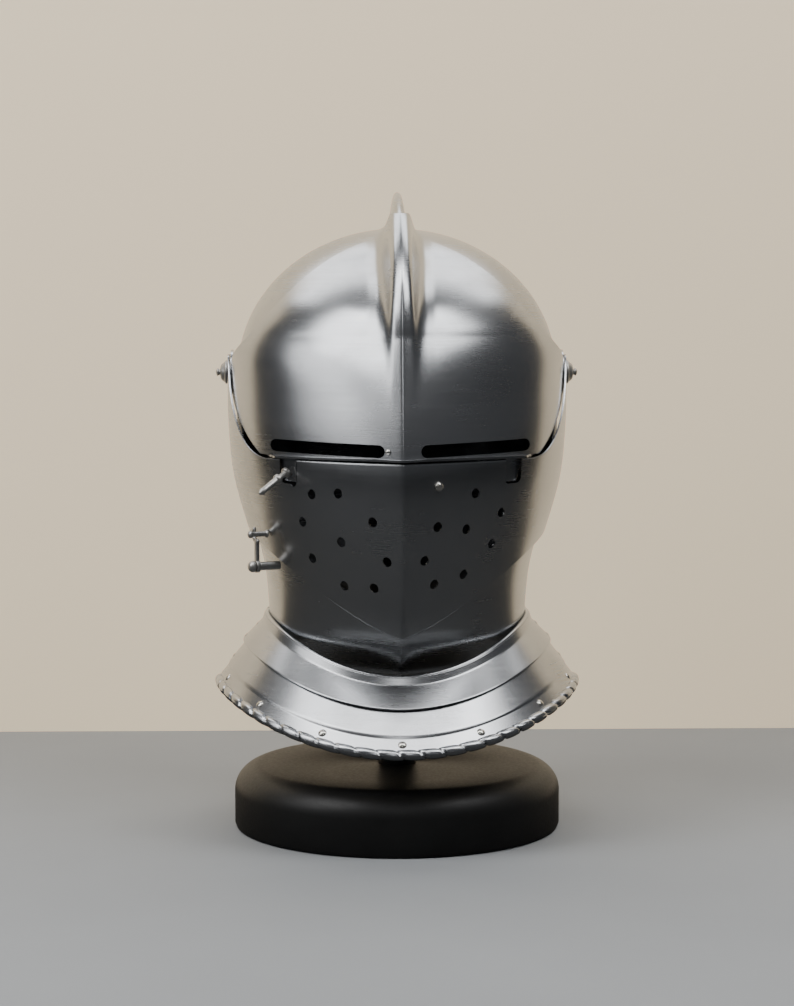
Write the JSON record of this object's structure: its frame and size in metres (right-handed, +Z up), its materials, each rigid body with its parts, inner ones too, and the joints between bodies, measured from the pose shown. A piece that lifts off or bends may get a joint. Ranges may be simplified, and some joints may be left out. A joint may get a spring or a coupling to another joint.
{
  "type": "close helmet on display stand",
  "caption": "Close helmet with raised comb, pivoting visor and face plate, hinged chin plate and flared roped collar, resting on a plain round display stand.",
  "frame": {"origin": "middle of the stand's underside, where it stands on a shelf", "axes": "+Z up, -Y where the face looks, +X towards the wearer's left"},
  "size_m": [0.2306, 0.2593, 0.3975],
  "materials": {
    "polished_steel": "burnished",
    "turned_steel": "polished, darker",
    "rivet_steel": "polished",
    "black_wood": "matt black paint"
  },
  "bodies": {
    "skull": {"skull": "polished_steel", "rear_lame_upper": "polished_steel", "rear_lame_lower": "polished_steel", "pivot_bolt_left": "turned_steel", "pivot_bolt_right": "turned_steel", "lining_rivet_5": "rivet_steel", "lining_rivet_6": "rivet_steel", "lining_rivet_7": "rivet_steel", "lining_rivet_8": "rivet_steel", "lining_rivet_9": "rivet_steel", "lining_rivet_10": "rivet_steel", "lining_rivet_11": "rivet_steel", "stand_base": "black_wood", "stand_post": "black_wood"},
    "bevor": {"bevor": "polished_steel", "front_lame_upper": "polished_steel", "front_lame_lower": "polished_steel", "lining_rivet_1": "rivet_steel", "lining_rivet_2": "rivet_steel", "lining_rivet_3": "rivet_steel", "lining_rivet_4": "rivet_steel", "lining_rivet_12": "rivet_steel", "lining_rivet_13": "rivet_steel", "lining_rivet_14": "rivet_steel", "side_rivet_right_1": "rivet_steel", "side_rivet_right_2": "rivet_steel", "side_rivet_right_3": "rivet_steel", "side_rivet_left_1": "rivet_steel", "side_rivet_left_2": "rivet_steel", "side_rivet_left_3": "rivet_steel", "latch_screw": "turned_steel"},
    "ventail": {"ventail": "polished_steel", "ventail_stud": "rivet_steel", "latch_pin": "turned_steel"},
    "visor": {"visor": "polished_steel", "lifting_peg": "turned_steel", "sight_stud": "rivet_steel"},
    "hook": {"latch_hook": "turned_steel"}
  },
  "joints": [
    {"name": "bevor_hinge", "type": "hinge", "parent": "skull", "child": "bevor", "pos_m": [0, 0, 0.286], "axis": [-1, 0, 0], "range_deg": [0, 45]},
    {"name": "ventail_hinge", "type": "hinge", "parent": "bevor", "child": "ventail", "pos_m": [0, 0, 0.286], "axis": [-1, 0, 0], "range_deg": [0, 45]},
    {"name": "visor_hinge", "type": "hinge", "parent": "ventail", "child": "visor", "pos_m": [0, 0, 0.286], "axis": [-1, 0, 0], "range_deg": [0, 50]},
    {"name": "hook_swivel", "type": "hinge", "parent": "bevor", "child": "hook", "pos_m": [-0.08505, -0.06027, 0.1705], "axis": [-0.8831, -0.4692, 0], "range_deg": [0, 50]}
  ]
}
